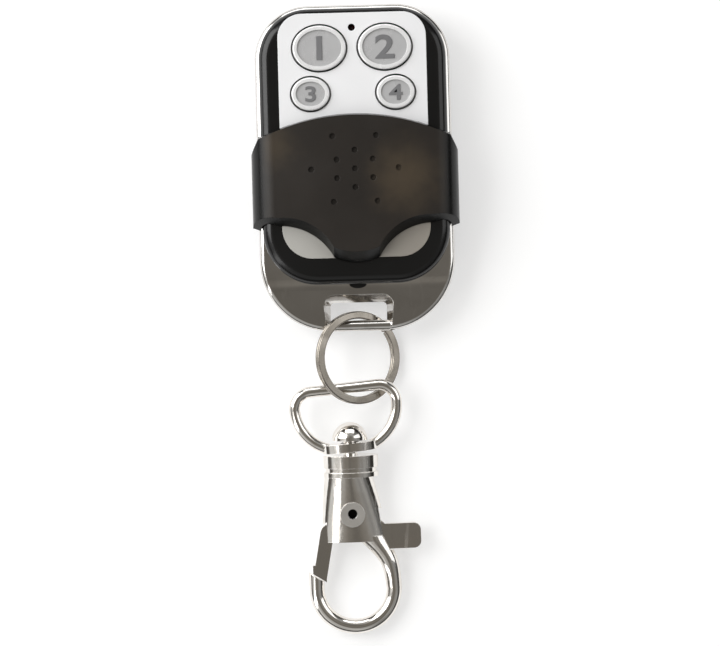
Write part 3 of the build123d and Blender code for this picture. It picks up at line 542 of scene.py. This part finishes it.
def moulded_plastic(name, colour, tint, roughness=0.4, change=0.12, fineness=9000.0, depth=grain_depth,
                    specular=0.5, worn=None):
    """Moulded plastic with a fine grain, drifting colour and rubbed edges."""
    material, tree, shader = new_material(name)
    shader.inputs["Specular IOR Level"].default_value = specular
    eased = eased_normal(tree)
    drift = mix_colours(tree, noise(tree, pigment_fineness, detail=3.0), colour, tint)
    edge = place_group(tree, wear_group, Bevel_Normal=eased)["Mask"]
    rubbed = worn or tuple(min(1.0, channel * worn_lift) for channel in tint)
    tree.links.new(mix_colours(tree, edge, drift, rubbed), shader.inputs["Base Color"])
    grain = place_group(tree, grain_group, Fineness=fineness, Gloss=roughness, Gloss_Change=change)
    marked = place_group(tree, handling_group, Fineness=skin_mark_fineness, Amount=skin_marks)
    rough = math_node(tree, "ADD", grain["Roughness"], marked["Roughness"])
    smoothed = math_node(tree, "SUBTRACT", rough, math_node(tree, "MULTIPLY", edge, edge_polish))
    tree.links.new(smoothed, shader.inputs["Roughness"])
    tree.links.new(bump(tree, grain["Height"], depth, eased), shader.inputs["Normal"])
    return material


front_plastic = moulded_plastic("front_plastic", (0.006, 0.006, 0.006), (0.009, 0.009, 0.009), 0.16, 0.04,
                                depth=0.0015 * mm, specular=0.4, worn=(0.03, 0.03, 0.03))
back_plastic = moulded_plastic("back_plastic", (0.016, 0.016, 0.016), (0.022, 0.022, 0.022), 0.5,
                               fineness=4200.0, depth=0.012 * mm)
board_mask = moulded_plastic("solder_mask", (0.02, 0.16, 0.06), (0.03, 0.2, 0.08), 0.3)
chip_plastic = moulded_plastic("chip_plastic", (0.02, 0.02, 0.02), (0.03, 0.03, 0.03), 0.6)
cell_film = moulded_plastic("cell_film", (0.05, 0.05, 0.06), (0.07, 0.07, 0.08), 0.35)
lamp_lens = moulded_plastic("lamp_lens", (0.03, 0.004, 0.003), (0.05, 0.006, 0.004), 0.12, depth=0.001 * mm)
print("plain plastics made")

# %% [markdown]
# The cover is one moulding with two finishes. Its top is etched to a satin brown black that hides finger
# marks, and its walls and rims are polished, so that it slides well. The walls and rims are painted deep
# black as shade, and two spots on the top are painted with a brown sheen, a painted reflection.

# %% Cover plastic
satin_black = (0.019, 0.0165, 0.0145)
satin_tint = (0.030, 0.025, 0.021)
wall_shade_black = (0.0025, 0.0025, 0.0023)
reflected_brown = (0.070, 0.053, 0.035)
reflection_spots = (
    ((9.5 * mm, -2.0 * mm, 0.0), 9.5 * mm, 0.85),
    ((-14.5 * mm, 4.0 * mm, 0.0), 6.0 * mm, 0.55),
)
spot_raggedness = 6.0 * mm
top_from, top_full = 0.80, 0.97
wall_gloss = -0.12

cover_plastic = moulded_plastic("cover_plastic", satin_black, satin_tint, 0.36, specular=0.25,
                                worn=(0.045, 0.038, 0.031))
tree = cover_plastic.node_tree
shader = tree.nodes["Principled BSDF"]
top_face = place_group(tree, facing_group, From=top_from, To=top_full)["Mask"]
colour_now = shader.inputs["Base Color"].links[0].from_socket
# Each spot paints a brown reflection onto the top of the cover.
for centre, reach, strength in reflection_spots:
    spot = place_group(tree, spot_group, Centre=centre, Inside=0.0, Outside=reach,
                       Unevenness=spot_raggedness)["Mask"]
    share = math_node(tree, "MULTIPLY", spot, strength)
    colour_now = mix_colours(tree, share, colour_now, reflected_brown)
# Faces that turn away from the top are painted near-black as shade. The top keeps its own colour.
tree.links.new(mix_colours(tree, top_face, wall_shade_black, colour_now), shader.inputs["Base Color"])
gloss_now = shader.inputs["Roughness"].links[0].from_socket
gloss_change = mapped(tree, top_face, 0.0, 1.0, wall_gloss, 0.0)
tree.links.new(math_node(tree, "ADD", gloss_now, gloss_change), shader.inputs["Roughness"])
print("cover spots:", len(reflection_spots))

# %% [markdown]
# The plate and the keys carry a silver paint: fine metal flakes in a pale lacquer. It is neither quite
# metal nor quite plastic, so the Metallic value stands in between. The keys are painted lighter on their
# raised rim than in the dish, as a painted highlight.

# %% Silver paint
key_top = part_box("key_1")[1].z
rim_height = key_top - 0.08 * mm
dish_height = key_top - 0.22 * mm
dish_dark = (0.49, 0.49, 0.495)
dish_light = (0.57, 0.57, 0.575)
dish_fineness = 240.0


def silver_paint(name, colour, tint, metallic, roughness):
    """Silver lacquer: part metal, part pale paint, with a very fine grain."""
    material = moulded_plastic(name, colour, tint, roughness, change=0.06, fineness=14000.0,
                               depth=0.003 * mm, worn=(0.9, 0.9, 0.9))
    material.node_tree.nodes["Principled BSDF"].inputs["Metallic"].default_value = metallic
    return material


plate_silver = silver_paint("plate_silver", (0.88, 0.885, 0.90), (0.91, 0.91, 0.92), 0.12, 0.42)
key_silver = silver_paint("key_silver", (0.86, 0.86, 0.865), (0.9, 0.9, 0.9), 0.2, 0.26)
tree = key_silver.node_tree
shader = tree.nodes["Principled BSDF"]
# The raised rim is painted lighter than the dish, as a highlight.
rim_highlight_mask = place_group(tree, height_group, Low=dish_height, High=rim_height)["Mask"]
colour_now = shader.inputs["Base Color"].links[0].from_socket
dish_colour = mix_colours(tree, noise(tree, dish_fineness, detail=3.0), dish_dark, dish_light)
tree.links.new(mix_colours(tree, rim_highlight_mask, dish_colour, colour_now), shader.inputs["Base Color"])
figure_grey = moulded_plastic("figure_grey", (0.15, 0.15, 0.155), (0.2, 0.2, 0.205), 0.4)
print("silver paints made; the keys reach", round(key_top / mm, 2), "mm")

# %% [markdown]
# The lower end of the plate lies under the cover when the remote is in use. It is painted a warm grey as
# shadow from the cover's walls, darker on the right, where the shadow is deeper.

# %% Painted shadow on the end of the plate
shadow_from = -5.0 * mm
shadow_to = -9.0 * mm
shadow_half_width = 12.0 * mm
shadow_left = (0.47, 0.46, 0.43)
shadow_right = (0.31, 0.285, 0.25)

tree = plate_silver.node_tree
shader = tree.nodes["Principled BSDF"]
parts = tree.nodes.new("ShaderNodeSeparateXYZ")
tree.links.new(tree.nodes.new("ShaderNodeTexCoord").outputs["Object"], parts.inputs["Vector"])
# The masks and colours below paint the cover's shadow on the lower end of the plate.
in_shadow = mapped(tree, parts.outputs["Y"], shadow_from, shadow_to)
shadow_rightward = mapped(tree, parts.outputs["X"], -shadow_half_width, shadow_half_width)
plate_shadow = mix_colours(tree, shadow_rightward, shadow_left, shadow_right)
colour_now = shader.inputs["Base Color"].links[0].from_socket
tree.links.new(mix_colours(tree, in_shadow, colour_now, plate_shadow), shader.inputs["Base Color"])
print("plate dulled below", round(shadow_from / mm, 1), "mm")

# %% [markdown]
# Each solid of the frame is one object with slots for materials. Its slots are emptied and it gets one
# finish. A table by name shows at a glance which pieces share a finish: the loop, the post, the hook and
# the lever are nickel, and all four keys wear the same silver. Pieces inside the case get theirs too, for a
# view with it open.

# %% Give every solid its material
finish_of = {
    "metal_frame": chrome, "back_shell": back_plastic, "front_shell": front_plastic,
    "face_plate": plate_silver, "slide_cover": cover_plastic, "circuit_board": board_mask,
    "encoder_chip": chip_plastic, "rf_resonator": can_metal, "transistor": chip_plastic,
    "chip_parts": chip_plastic, "antenna_loop": copper, "led": lamp_lens, "battery": cell_film,
    "positive_plate": contact_steel, "negative_leaf": contact_steel, "case_screws": dark_screw,
    "split_ring": ring_steel, "d_ring": nickel, "swivel_post": nickel, "hook_body": nickel,
    "lever_rivet": rivet_metal, "trigger_lever": nickel, "lever_spring": contact_steel,
}
for number in range(1, 5):
    finish_of[f"key_{number}"] = key_silver
    finish_of[f"plunger_{number}"] = chip_plastic
    finish_of[f"switch_body_{number}"] = can_metal

for name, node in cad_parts.items():
    node.data.materials.clear()
    node.data.materials.append(finish_of[name])
print("solids with a finish:", len(finish_of))

# %% [markdown]
# Each key has a figure, so that the hand finds the right one: here the plain numbers 1 to 4. They are
# raised a little from the dish. A mask in the material could draw them, but they would stay flat in a low
# light, so they are meshes. Blender's own font gives the outlines. A text object has an extrusion and a
# bevel of its own. Its mesh is then scaled to the height of the figure and set down in the dish of its key.

# %% Key figures
dish_floor = key_top - 0.25 * mm
figure_sink = 0.03 * mm
figure_stand = 0.12 * mm
figure_stretch = 1.25
large_figure = 4.4 * mm
small_figure = 2.9 * mm
figure_heights = {1: large_figure, 2: large_figure, 3: small_figure, 4: small_figure}
text_boldness = 0.012
text_extrusion = 0.02
text_bevel = 0.01


def text_mesh(name, words):
    """The mesh of a short text, extruded and bevelled, at Blender's own text size."""
    curve = bpy.data.curves.new(name, "FONT")
    curve.body = words
    curve.offset = text_boldness
    curve.extrude = text_extrusion
    curve.bevel_depth = text_bevel
    curve.bevel_resolution = 2
    curve.resolution_u = 8
    writing = bpy.data.objects.new(name, curve)
    bpy.context.scene.collection.objects.link(writing)
    solid = writing.evaluated_get(bpy.context.evaluated_depsgraph_get())
    mesh = bpy.data.meshes.new_from_object(solid)
    mesh.name = name
    bpy.data.objects.remove(writing)
    bpy.data.curves.remove(curve)
    return mesh


for number, height in figure_heights.items():
    key_low, key_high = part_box(f"key_{number}")
    x = (key_low.x + key_high.x) / 2
    y = (key_low.y + key_high.y) / 2
    mesh = text_mesh(f"figure_{number}", str(number))
    low = Vector([min(v.co[i] for v in mesh.vertices) for i in range(3)])
    high = Vector([max(v.co[i] for v in mesh.vertices) for i in range(3)])
    scale = height / (high.y - low.y)
    lift = (figure_sink + figure_stand) / (high.z - low.z)
    for vertex in mesh.vertices:
        vertex.co.x = x + (vertex.co.x - (low.x + high.x) / 2) * scale * figure_stretch
        vertex.co.y = y + (vertex.co.y - (low.y + high.y) / 2) * scale
        vertex.co.z = dish_floor - figure_sink + (vertex.co.z - low.z) * lift
    mesh.materials.append(figure_grey)
    figure = bpy.data.objects.new(f"figure_{number}", mesh)
    bpy.context.scene.collection.objects.link(figure)
    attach(figure, f"key_{number}_body")
    print("figure", number, "at", round(x / mm, 2), round(y / mm, 2), len(mesh.polygons), "faces")
